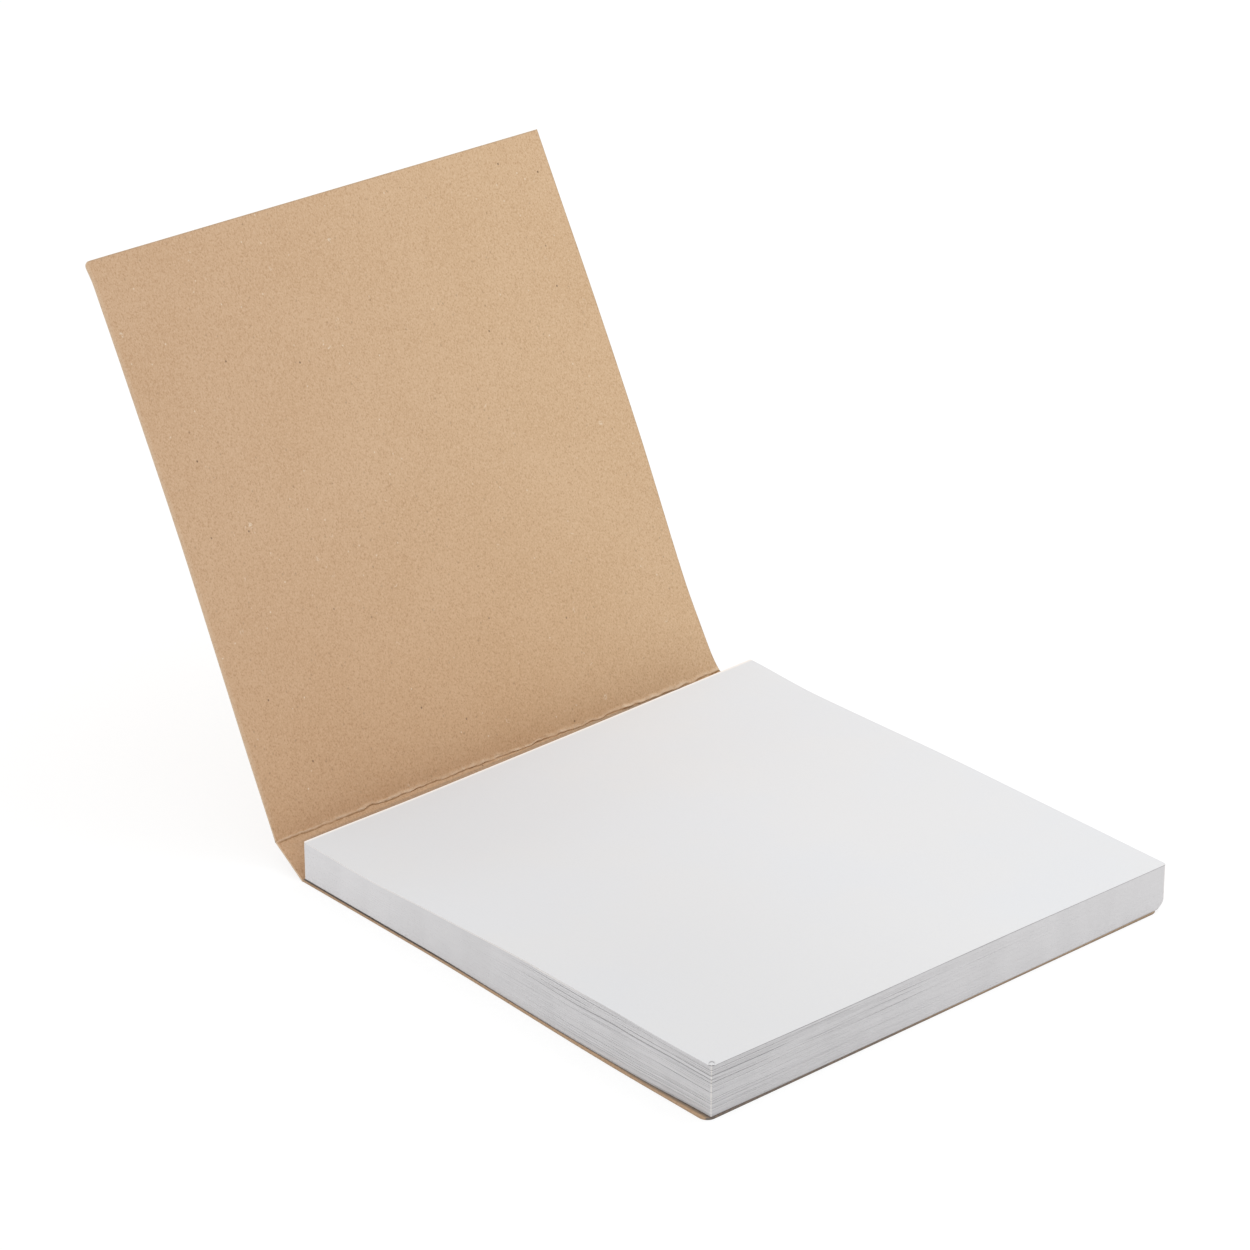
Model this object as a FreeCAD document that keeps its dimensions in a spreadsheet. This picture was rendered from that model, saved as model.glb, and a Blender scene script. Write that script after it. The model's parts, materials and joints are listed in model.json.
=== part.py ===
import FreeCAD, Part
import math
import os
import Sketcher

# A square block of gummed note sheets that lies in a folded card cover. The card is one
# strip with two creases: a back panel under the block, a narrow spine panel that leans
# out from the gummed edge, and a front panel that stands open and leans back.
# +X runs from the creases to the free edge, +Y along the creases, +Z up. The origin is
# under the middle of the block, on the face that the pad rests on. "near" is the -Y end
# of each piece and "far" the +Y end; lengths are in millimetres and angles in degrees.

SIZES = [
    ("block_length", 75.0, "block, from the gummed edge to the free edge"),
    ("block_width", 75.0, "block, along the gummed edge"),
    ("height_gummed_near", 5.4, "block height where the gum holds the sheets flat"),
    ("height_gummed_far", 6.0, "block height at the far end of the gummed edge"),
    ("height_free_near", 6.6, "block height at the corner where the sheets fan out"),
    ("height_free_far", 5.85, "block height at the far corner of the free edge"),
    ("worn_corner_radius", 0.8, "softened upright edge at the far free corner"),
    ("card_thickness", 0.3, "card of the cover"),
    ("crease_clearance", 0.08, "gap that lets the card turn at a crease"),
    ("back_overhang", 0.25, "back panel beyond the block's free edge"),
    ("back_slip", 0.7, "sideways slip of the back panel at the free edge"),
    ("back_corner_radius", 1.0, "rounded free corners of the back panel"),
    ("spine_allowance", 0.55, "spine panel's width beyond the block's height"),
    ("spine_near_angle", 64.0, "spine panel from upright, near end"),
    ("spine_far_angle", 77.0, "spine panel from upright, far end"),
    ("cover_overhang", 0.75, "front panel beyond the block's free edge, when shut"),
    ("cover_near_angle", 26.2, "front panel from upright at its crease, near end"),
    ("cover_far_angle", 27.7, "front panel from upright at its crease, far end"),
    ("cover_bow_angle", 2.0, "further lean that the front panel gains up to its top edge"),
]

doc = FreeCAD.newDocument("NotePad")


# Sizes sheet and formulas

sheet = doc.addObject("Spreadsheet::Sheet", "Sizes")
for row, (alias, value, note) in enumerate(SIZES, start=1):
    sheet.set(f"A{row}", note)
    sheet.set(f"B{row}", str(value))
    sheet.setAlias(f"B{row}", alias)
doc.recompute()

CARD = "Sizes.card_thickness"
HALF_CARD = "Sizes.card_thickness / 2"
HALF_LENGTH = "Sizes.block_length / 2"
HALF_WIDTH = "Sizes.block_width / 2"

# A panel stops this far short of the crease line, and so does the block.
CREASE_INSET = f"({HALF_CARD} + Sizes.crease_clearance)"
CORNER_HEIGHTS = [
    "Sizes.height_gummed_near",
    "Sizes.height_gummed_far",
    "Sizes.height_free_near",
    "Sizes.height_free_far",
]
SPINE_WIDTH = "(Sizes.height_gummed_far + Sizes.spine_allowance)"
COVER_LENGTH = f"({CREASE_INSET} + Sizes.block_length + Sizes.cover_overhang)"
BOW_RADIUS = f"({COVER_LENGTH} / (Sizes.cover_bow_angle * pi / 180))"


def number(formula):
    """Today's value of a formula that reads the sheet."""
    return float(sheet.evalExpression(formula))


def sine(angle):
    return f"sin(({angle}) * 1 deg)"


def cosine(angle):
    return f"cos(({angle}) * 1 deg)"


# Bodies and sketches

def new_body(label):
    body = doc.addObject("PartDesign::Body", label)
    body.Label = label
    return body


def new_sketch(body, name, role, offset="0"):
    """A sketch on one of the body's own planes, moved along that plane's normal."""
    plane = next(item for item in body.Origin.OriginFeatures if item.Role == role)
    sketch = body.newObject("Sketcher::SketchObject", name)
    sketch.AttachmentSupport = [(plane, "")]
    sketch.MapMode = "FlatFace"
    sketch.setExpression("AttachmentOffset.Base.z", offset)
    doc.recompute()
    return sketch


def bind(sketch, constraint, formula):
    """Adds a sized constraint and ties it to its formula."""
    index = sketch.addConstraint(constraint)
    sketch.renameConstraint(index, f"size_{index}")
    sketch.setExpression(f"Constraints.size_{index}", formula)


def pin_point(sketch, geometry, end, point):
    """Ties a point of the sketch to a pair of formulas, counted from the sketch's origin."""
    across, up = point
    bind(sketch, Sketcher.Constraint("DistanceX", -1, 1, geometry, end, number(across)), across)
    bind(sketch, Sketcher.Constraint("DistanceY", -1, 1, geometry, end, number(up)), up)


def vector(point):
    return FreeCAD.Vector(number(point[0]), number(point[1]), 0)


def draw_outline(sketch, corners):
    """A closed outline of straight sides through the given pairs of formulas."""
    count = len(corners)
    for index in range(count):
        ends = vector(corners[index]), vector(corners[(index + 1) % count])
        sketch.addGeometry(Part.LineSegment(*ends), False)
    for index in range(count):
        sketch.addConstraint(Sketcher.Constraint("Coincident", index, 2, (index + 1) % count, 1))
    for index, corner in enumerate(corners):
        pin_point(sketch, index, 1, corner)
    doc.recompute()


def loft(body, kind, name, first, second):
    """Straight lines from one section to the other, added to the body or cut from it."""
    feature = body.newObject(kind, name)
    feature.Profile = first
    feature.Sections = [(second, "")]
    feature.Ruled = True
    doc.recompute()


def round_edges(body, name, radius, wanted):
    """Fillets the straight edges of the body's tip whose middle passes the test."""
    tip = body.Tip
    names = [f"Edge{index}" for index, edge in enumerate(tip.Shape.Edges, start=1)
             if wanted(edge, edge.CenterOfMass)]
    if not names:
        raise RuntimeError(f"{body.Label}: no edge for {name}")
    feature = body.newObject("PartDesign::Fillet", name)
    feature.Base = (tip, names)
    feature.setExpression("Radius", radius)
    doc.recompute()


def spine_crease(lean):
    """Where the second crease lies in a section, counted from the first crease."""
    return f"(-{SPINE_WIDTH} * {sine(lean)})", f"({SPINE_WIDTH} * {cosine(lean)})"


# Paper block: an upright square block, cut at the top to a height of its own at each corner

def paper_block():
    body = new_body("paper_block")
    body.setExpression("Placement.Base.z", CARD)
    outline = new_sketch(body, "SheetOutline", "XY_Plane")
    draw_outline(outline, [
        (f"-{HALF_LENGTH}", f"-{HALF_WIDTH}"),
        (HALF_LENGTH, f"-{HALF_WIDTH}"),
        (HALF_LENGTH, HALF_WIDTH),
        (f"-{HALF_LENGTH}", HALF_WIDTH),
    ])
    tallest = f"max({'; '.join(CORNER_HEIGHTS)}) + {CARD}"
    sheets = body.newObject("PartDesign::Pad", "Sheets")
    sheets.Profile = outline
    sheets.setExpression("Length", tallest)
    doc.recompute()

    def at_far_free_corner(edge, middle):
        upright = abs(edge.Vertexes[0].Z - edge.Vertexes[1].Z) > number(CARD)
        return upright and middle.x > 0 and middle.y > 0

    round_edges(body, "WornCorner", "Sizes.worn_corner_radius", at_far_free_corner)

    def above_sheets(name, offset, near_height, far_height):
        sketch = new_sketch(body, name, "YZ_Plane", offset)
        draw_outline(sketch, [
            (f"-{HALF_WIDTH}", near_height),
            (HALF_WIDTH, far_height),
            (HALF_WIDTH, tallest),
            (f"-{HALF_WIDTH}", tallest),
        ])
        return sketch

    gummed_near, gummed_far, free_near, free_far = CORNER_HEIGHTS
    gummed = above_sheets("AboveGummedEdge", f"-{HALF_LENGTH}", gummed_near, gummed_far)
    free = above_sheets("AboveFreeEdge", HALF_LENGTH, free_near, free_far)
    loft(body, "PartDesign::SubtractiveLoft", "TopFace", gummed, free)
    return body


# Back panel: a flat plate, slipped sideways at the free edge

def back_cover():
    body = new_body("back_cover")
    sketch = new_sketch(body, "Outline", "XY_Plane")
    crease_end = f"-{HALF_LENGTH}"
    free_end = f"{HALF_LENGTH} + Sizes.back_overhang"
    draw_outline(sketch, [
        (crease_end, f"-{HALF_WIDTH}"),
        (free_end, f"-{HALF_WIDTH} - Sizes.back_slip"),
        (free_end, f"{HALF_WIDTH} - Sizes.back_slip"),
        (crease_end, HALF_WIDTH),
    ])
    plate = body.newObject("PartDesign::Pad", "Plate")
    plate.Profile = sketch
    plate.setExpression("Length", CARD)
    doc.recompute()

    def at_free_corner(edge, middle):
        upright = abs(edge.Vertexes[0].Z - edge.Vertexes[1].Z) > number(HALF_CARD)
        return upright and middle.x > 0

    round_edges(body, "FreeCorners", "Sizes.back_corner_radius", at_free_corner)
    return body


# Spine panel: a narrow strip with rounded long edges, turned more at its far end

def place_at_first_crease(body):
    body.setExpression("Placement.Base.x", f"-({HALF_LENGTH} + {CREASE_INSET})")
    body.setExpression("Placement.Base.z", HALF_CARD)


def spine_panel():
    body = new_body("spine_panel")
    place_at_first_crease(body)

    def section(name, offset, lean):
        sketch = new_sketch(body, name, "XZ_Plane", offset)
        crease = spine_crease(lean)
        half = number(HALF_CARD)
        turn = math.radians(number(lean))
        origin = FreeCAD.Vector(0, 0, 0)
        axis = FreeCAD.Vector(0, 0, 1)
        top = vector(crease)
        side = FreeCAD.Vector(math.cos(turn), math.sin(turn), 0) * half
        foot_round = Part.Circle(origin, axis, half)
        top_round = Part.Circle(top, axis, half)
        sketch.addGeometry([
            Part.ArcOfCircle(foot_round, turn + math.pi, turn + 2 * math.pi),
            Part.LineSegment(side, top + side),
            Part.ArcOfCircle(top_round, turn, turn + math.pi),
            Part.LineSegment(top - side, -side),
        ], False)
        for index in range(4):
            sketch.addConstraint(Sketcher.Constraint("Tangent", index, 2, (index + 1) % 4, 1))
        sketch.addConstraint(Sketcher.Constraint("Equal", 0, 2))
        sketch.addConstraint(Sketcher.Constraint("Coincident", 0, 3, -1, 1))
        bind(sketch, Sketcher.Constraint("Radius", 0, half), HALF_CARD)
        pin_point(sketch, 2, 3, crease)
        doc.recompute()
        return sketch

    near = section("NearEnd", HALF_WIDTH, "Sizes.spine_near_angle")
    far = section("FarEnd", f"-{HALF_WIDTH}", "Sizes.spine_far_angle")
    loft(body, "PartDesign::AdditiveLoft", "Strip", near, far)
    return body


# Front panel: a gently bowed plate that starts just past the second crease

def front_cover():
    body = new_body("front_cover")
    place_at_first_crease(body)

    def section(name, offset, spine_lean, lean):
        sketch = new_sketch(body, name, "XZ_Plane", offset)
        crease_across, crease_up = spine_crease(spine_lean)
        start = f"({lean} + {CREASE_INSET} / {BOW_RADIUS} * 180 / pi)"
        finish = f"({lean} + Sizes.cover_bow_angle)"

        def on_arc(radius, angle):
            across = f"{crease_across} + {radius} * {cosine(angle)} - {BOW_RADIUS} * {cosine(lean)}"
            up = f"{crease_up} + {radius} * {sine(angle)} - {BOW_RADIUS} * {sine(lean)}"
            return across, up

        centre = FreeCAD.Vector(*(number(formula) for formula in on_arc("0", "0")), 0)
        axis = FreeCAD.Vector(0, 0, 1)
        arc_angles = math.radians(number(start)), math.radians(number(finish))
        front_radius = f"({BOW_RADIUS} + {HALF_CARD})"
        back_radius = f"({BOW_RADIUS} - {HALF_CARD})"
        front_foot, front_top = on_arc(front_radius, start), on_arc(front_radius, finish)
        back_foot, back_top = on_arc(back_radius, start), on_arc(back_radius, finish)
        front_circle = Part.Circle(centre, axis, number(front_radius))
        back_circle = Part.Circle(centre, axis, number(back_radius))
        sketch.addGeometry([
            Part.ArcOfCircle(front_circle, *arc_angles),
            Part.LineSegment(vector(front_top), vector(back_top)),
            Part.ArcOfCircle(back_circle, *arc_angles),
            Part.LineSegment(vector(back_foot), vector(front_foot)),
        ], False)
        for first, second in [((0, 2), (1, 1)), ((1, 2), (2, 2)), ((2, 1), (3, 1)), ((3, 2), (0, 1))]:
            sketch.addConstraint(Sketcher.Constraint("Coincident", *first, *second))
        pin_point(sketch, 0, 1, front_foot)
        pin_point(sketch, 0, 2, front_top)
        pin_point(sketch, 2, 1, back_foot)
        pin_point(sketch, 2, 2, back_top)
        bind(sketch, Sketcher.Constraint("Radius", 0, number(front_radius)), front_radius)
        bind(sketch, Sketcher.Constraint("Radius", 2, number(back_radius)), back_radius)
        doc.recompute()
        return sketch

    near = section("NearEnd", HALF_WIDTH, "Sizes.spine_near_angle", "Sizes.cover_near_angle")
    far = section("FarEnd", f"-{HALF_WIDTH}", "Sizes.spine_far_angle", "Sizes.cover_far_angle")
    loft(body, "PartDesign::AdditiveLoft", "Plate", near, far)
    return body


# Build, check and write

PIECES = [paper_block(), back_cover(), spine_panel(), front_cover()]
doc.recompute()

for item in doc.Objects:
    if "Invalid" in item.State or "Error" in item.State:
        raise RuntimeError(f"{item.Label}: {item.State}")
for piece in PIECES:
    if piece.Shape.isNull() or not piece.Shape.isValid() or len(piece.Shape.Solids) != 1:
        raise RuntimeError(f"{piece.Label}: not one valid solid")

os.makedirs("parts", exist_ok=True)
for piece in PIECES:
    piece.Shape.exportStep(f"parts/{piece.Label}.step")
    box = piece.Shape.BoundBox
    print(f"{piece.Label}: {piece.Shape.Volume:.1f} mm3,",
          f"x {box.XMin:.2f} to {box.XMax:.2f},",
          f"y {box.YMin:.2f} to {box.YMax:.2f},",
          f"z {box.ZMin:.2f} to {box.ZMax:.2f}")
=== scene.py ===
import json
import math
import random

import bmesh
import bpy
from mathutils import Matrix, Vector, noise


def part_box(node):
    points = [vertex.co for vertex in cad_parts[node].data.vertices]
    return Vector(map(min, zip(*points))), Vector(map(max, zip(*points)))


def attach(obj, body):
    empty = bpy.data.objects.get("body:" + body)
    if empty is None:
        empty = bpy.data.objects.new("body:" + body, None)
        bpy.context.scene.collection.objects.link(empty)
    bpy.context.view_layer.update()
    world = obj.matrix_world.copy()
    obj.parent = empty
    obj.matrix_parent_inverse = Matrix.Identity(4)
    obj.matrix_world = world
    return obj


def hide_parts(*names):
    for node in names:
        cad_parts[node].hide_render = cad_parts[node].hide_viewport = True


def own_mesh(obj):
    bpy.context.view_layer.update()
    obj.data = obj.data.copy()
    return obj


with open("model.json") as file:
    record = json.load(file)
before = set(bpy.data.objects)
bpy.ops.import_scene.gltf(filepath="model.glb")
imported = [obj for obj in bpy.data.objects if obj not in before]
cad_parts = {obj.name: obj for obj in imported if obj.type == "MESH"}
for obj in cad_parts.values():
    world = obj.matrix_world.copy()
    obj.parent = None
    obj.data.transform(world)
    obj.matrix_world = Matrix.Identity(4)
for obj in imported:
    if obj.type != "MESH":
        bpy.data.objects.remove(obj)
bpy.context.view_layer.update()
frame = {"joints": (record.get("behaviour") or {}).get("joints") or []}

bl_info = {
    "name": "Sticky note pad",
    "version": (1, 0, 0),
    "blender": (4, 5, 0),
    "location": "View3D > Sidebar > Note pad",
    "description": "A block of gummed note sheets in a folded card cover",
    "category": "Add Mesh",
}

# Lengths are in metres. +X runs from the creases to the free edge, +Y along the creases
# and +Z up. "near" is the -Y end of each piece and "far" the +Y end.

MM = 0.001
BLOCK_LOW, BLOCK_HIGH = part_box("paper_block")
CARD_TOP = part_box("back_cover")[1].z
SPAN = BLOCK_HIGH.x - BLOCK_LOW.x
HALF = SPAN / 2
JOINTS = {joint["name"]: joint for joint in frame["joints"]}

CRUSHED_STEP = 0.065 * MM  # Between the grid's lines across a crushed crease
SHARP_STEP = 0.02 * MM  # Between the first lines at a cut edge


def crease_end(name, y):
    """Where a joint's axis meets the plane at y."""
    start, axis = Vector(JOINTS[name]["pos_m"]), Vector(JOINTS[name]["axis"])
    return start + axis * ((y - start.y) / axis.y)


# Settings

def length(name, description, default):
    return bpy.props.FloatProperty(
        name=name, description=description, default=default, unit="LENGTH", precision=5)


def colour(name, description, default):
    return bpy.props.FloatVectorProperty(
        name=name, description=description, default=default, subtype="COLOR",
        size=3, min=0.0, max=1.0)


class SheetSizes(bpy.types.PropertyGroup):
    """Sizes of the block of note sheets"""
    count: bpy.props.IntProperty(
        name="Sheets", description="Sheets in the block", default=54)
    gummed_near: length("Gummed near", "Top at the near gummed corner", 5.7 * MM)
    gummed_far: length("Gummed far", "Top at the far gummed corner", 6.42 * MM)
    free_near: length("Free near", "Top at the near free corner", 6.85 * MM)
    free_far: length("Free far", "Top at the far free corner", 6.3 * MM)
    near_swell: length("Near swell", "Rise of the near top edge where sheets part", 0.73 * MM)
    near_dip: length("Near dip", "Dip of the top behind the gum, near edge", 0.31 * MM)
    far_dip: length("Far dip", "Dip of the top behind the gum, far edge", 0.5 * MM)
    gum_dip: length("Gum dip", "Dip of the gummed edge half way along", 0.22 * MM)
    near_bulge: length("Near bulge", "How far the near face swings out", 0.59 * MM)
    free_bulge: length("Free bulge", "How far the free face swings out", 0.36 * MM)
    worn_corner: length("Worn corner", "Radius of the far free corner", 0.8 * MM)
    groove: length("Groove", "Depth between two parted sheets", 0.24 * MM)
    stagger: length("Stagger", "Sideways unevenness of the sheets", 0.035 * MM)
    curl: length("Curl", "Lift of the top sheet's near free tip", 0.16 * MM)
    curl_reach: length("Curl reach", "Size of the lifted tip along both edges", 1.7 * MM)
    pressed: bpy.props.FloatProperty(
        name="Pressed", description="Share of its height that the block keeps when shut",
        default=0.952, subtype="FACTOR")


class CardSizes(bpy.types.PropertyGroup):
    """Sizes of the folded card cover"""
    thickness: length("Thickness", "Thickness of the card", 0.3 * MM)
    cut_round: length("Cut round", "Rounding of the cut edges", 0.05 * MM)
    back_corner: length("Back corner", "Corner radius of the back panel", 1.25 * MM)
    near_ledge: length("Near ledge", "Back panel beyond the near free corner", 1.08 * MM)
    far_slip: length("Far slip", "Back panel behind the far free corner", 1.0 * MM)
    free_ledge: length("Free ledge", "Back panel beyond the free edge", 0.42 * MM)
    near_lean: bpy.props.FloatProperty(
        name="Near lean", description="Front panel from upright, near end",
        default=math.radians(26.2), subtype="ANGLE")
    far_lean: bpy.props.FloatProperty(
        name="Far lean", description="Front panel from upright, far end",
        default=math.radians(27.7), subtype="ANGLE")
    bow: bpy.props.FloatProperty(
        name="Bow", description="Further lean up to the top edge",
        default=math.radians(2.0), subtype="ANGLE")
    front_length: length("Front length", "Front panel from its crease", 75.98 * MM)
    top_corner: length("Top corner", "Rubbed near corner of the top edge", 0.75 * MM)
    ridge: length("Ridge", "Height of the crushed ridge along the crease", 0.12 * MM)
    waver: length("Waver", "How far the crushed ridge wanders", 0.21 * MM)


class Finishes(bpy.types.PropertyGroup):
    """Colours of paper and card"""
    kraft: colour("Kraft", "Card colour", (0.666, 0.457, 0.277))
    kraft_pale: colour("Kraft pale", "Paler clouds in the card", (0.738, 0.53, 0.342))
    kraft_deep: colour("Kraft deep", "Deeper clouds in the card", (0.53, 0.336, 0.189))
    # Also the colour of the painted highlights on the crease ridge and the front panel's near edge
    kraft_cut_and_highlight: colour("Kraft cut", "Cut and rubbed card", (0.78, 0.63, 0.47))
    # Colour of the painted shade on the card's edges, beside the block and on the spine
    kraft_shade: colour("Kraft soiled", "Soiled edges of the card", (0.175, 0.15, 0.132))
    # Colour of the crack line along a crease, partly painted shade
    kraft_crack_shade: colour("Kraft crease", "Cracked line of a crease", (0.33, 0.175, 0.07))
    speck: colour("Speck", "Dark specks in the card", (0.17, 0.10, 0.06))
    fibre: colour("Fibre", "Pale fibres in the card", (0.86, 0.74, 0.58))
    paper: colour("Paper", "Face of a sheet", (0.80, 0.81, 0.83))
    paper_cut: colour("Paper cut", "Cut edges of the sheets", (0.80, 0.79, 0.80))
    paper_rim: colour("Paper rim", "Crisp rims that catch the light", (0.97, 0.93, 0.89))
    paper_shade: colour("Paper shade", "Parted edges of the sheets", (0.34, 0.335, 0.34))


class StageSettings(bpy.types.PropertyGroup):
    """Floor, light and camera"""
    floor_size: length("Floor", "Side of the floor", 6.0)
    sky: bpy.props.FloatProperty(
        name="Sky", description="Strength of the even light", default=0.825)
    lamp: bpy.props.FloatProperty(
        name="Lamp", description="Power of the lamp above the far end in watts", default=0.44)
    fill: bpy.props.FloatProperty(
        name="Fill", description="Power of the lamp at the near end in watts", default=0.38)
    azimuth: bpy.props.FloatProperty(
        name="Azimuth", description="Camera's direction", default=math.radians(48.6162),
        subtype="ANGLE")
    elevation: bpy.props.FloatProperty(
        name="Elevation", description="Camera above the horizon",
        default=math.radians(25.9186), subtype="ANGLE")
    distance: length("Distance", "From the camera to the aim", 0.65603)
    aim: bpy.props.FloatVectorProperty(
        name="Aim", description="Point at the middle of the picture",
        default=(-0.0215995, 0.0014361, 0.0287181), subtype="XYZ", unit="LENGTH")
    lens: bpy.props.FloatProperty(
        name="Lens", description="Focal length in millimetres", default=152.264)


class PadSettings(bpy.types.PropertyGroup):
    """All the settings of the note pad"""
    sheets: bpy.props.PointerProperty(type=SheetSizes)
    card: bpy.props.PointerProperty(type=CardSizes)
    finishes: bpy.props.PointerProperty(type=Finishes)
    stage: bpy.props.PointerProperty(type=StageSettings)


# Shaping helpers

def clamp(value, low=0.0, high=1.0):
    """The value, kept between low and high."""
    return max(low, min(high, value))


def mix(first, second, share):
    """A value on the way from first (share 0) to second (share 1)."""
    return first + (second - first) * share


def eased(low, high, value):
    """0 below low, 1 above high and a smooth rise between them."""
    share = clamp((value - low) / (high - low))
    return share * share * (3 - 2 * share)


def hump(low, peak, high, value):
    """A smooth rise from low to peak and fall from peak to high."""
    return eased(low, peak, value) if value < peak else 1 - eased(peak, high, value)


def waver(place, scale, seed):
    """A smooth random value from about -1 to 1 that changes over the given length."""
    return noise.noise(Vector((place / scale, seed * 7.31, 0.37))) * 1.6


def patch(x, y, scale, seed):
    """A smooth random value over a face, like waver along a line."""
    return noise.noise(Vector((x / scale, y / scale, seed * 5.17))) * 1.6


def stations(start, stop, fine_start, fine_stop, coarse, growth=1.3):
    """Places from start to stop that lie closer together towards the two ends."""
    def steps(fine):
        found, step = [], fine
        while step < coarse:
            found.append(step)
            step *= growth
        return found

    head, tail = steps(fine_start), steps(fine_stop)[::-1]
    middle = (stop - start) - sum(head) - sum(tail)
    count = max(1, round(middle / coarse))
    places = [start]
    for step in head + [middle / count] * count + tail:
        places.append(places[-1] + step)
    places[-1] = stop
    return places


def grid(bm, rows, columns):
    """A flat grid whose lines lie at the given places."""
    bmesh.ops.create_grid(
        bm, x_segments=len(rows) - 1, y_segments=len(columns) - 1, size=0.5)
    for vert in bm.verts:
        vert.co.x = rows[round((vert.co.x + 0.5) * (len(rows) - 1))]
        vert.co.y = columns[round((vert.co.y + 0.5) * (len(columns) - 1))]


def rounded(across, along, radius):
    """Moves a pair of distances from two edges so that their corner is a round one."""
    if across >= radius or along >= radius:
        return across, along
    p, q = 1 - across / radius, 1 - along / radius
    longest = math.hypot(p, q)
    if longest == 0:
        return across, along
    shrink = max(p, q) / longest
    return radius * (1 - p * shrink), radius * (1 - q * shrink)


def crisp_edges(bm, angle):
    """Shades the faces smoothly, apart from the edges that bend by more than the angle."""
    for edge in bm.edges:
        edge.smooth = len(edge.link_faces) == 2 and edge.calc_face_angle(0) < angle
    for face in bm.faces:
        face.smooth = True


def add_piece(name, bm, materials, body, node):
    """Makes the mesh an object that rides on a body and stands for a CAD node."""
    mesh = bpy.data.meshes.new(name)
    bm.to_mesh(mesh)
    bm.free()
    piece = bpy.data.objects.new(name, mesh)
    bpy.context.scene.collection.objects.link(piece)
    for material in materials:
        mesh.materials.append(material)
    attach(piece, body)
    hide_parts(node)
    return piece


# Materials

class Nodes:
    """Short ways to place and join the shader nodes of a material or a world."""

    def __init__(self, owner):
        owner.use_nodes = True
        self.tree = owner.node_tree
        self.shader = self.tree.nodes.get("Principled BSDF")

    def add(self, kind, **settings):
        node = self.tree.nodes.new(kind)
        for key, value in settings.items():
            setattr(node, key, value)
        return node

    def put(self, socket, value):
        if isinstance(value, bpy.types.NodeSocket):
            self.tree.links.new(value, socket)
        else:
            socket.default_value = value

    def attribute(self, name):
        return self.add("ShaderNodeAttribute", attribute_name=name)

    def math(self, operation, first, second=0.0, clamped=False):
        node = self.add("ShaderNodeMath", operation=operation, use_clamp=clamped)
        self.put(node.inputs[0], first)
        self.put(node.inputs[1], second)
        return node.outputs[0]

    def stretched(self, vector, scale, turn=(0, 0, 0)):
        node = self.add("ShaderNodeMapping")
        self.put(node.inputs["Vector"], vector)
        self.put(node.inputs["Scale"], scale)
        self.put(node.inputs["Rotation"], turn)
        return node.outputs[0]

    def noise(self, vector, scale, detail=2.0, roughness=0.5, distortion=0.0):
        node = self.add("ShaderNodeTexNoise")
        self.put(node.inputs["Vector"], vector)
        node.inputs["Scale"].default_value = scale
        node.inputs["Detail"].default_value = detail
        node.inputs["Roughness"].default_value = roughness
        node.inputs["Distortion"].default_value = distortion
        return node.outputs["Fac"]

    def range(self, value, low, high, to_low=0.0, to_high=1.0):
        node = self.add("ShaderNodeMapRange", interpolation_type="SMOOTHSTEP")
        self.put(node.inputs["Value"], value)
        for socket, number in zip(node.inputs[1:5], (low, high, to_low, to_high)):
            self.put(socket, number)
        return node.outputs[0]

    def blend(self, share, first, second, kind="MIX"):
        node = self.add("ShaderNodeMix", data_type="RGBA", blend_type=kind)
        self.put(node.inputs["Factor"], share)
        colours = [socket for socket in node.inputs if socket.type == "RGBA"]
        for socket, value in zip(colours, (first, second)):
            if not isinstance(value, bpy.types.NodeSocket):
                value = (*value, 1.0)
            self.put(socket, value)
        return next(socket for socket in node.outputs if socket.type == "RGBA")

    def bump(self, height, distance, strength, below=None):
        node = self.add("ShaderNodeBump")
        self.put(node.inputs["Height"], height)
        node.inputs["Distance"].default_value = distance
        node.inputs["Strength"].default_value = strength
        if below is not None:
            self.put(node.inputs["Normal"], below)
        return node.outputs[0]


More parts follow.
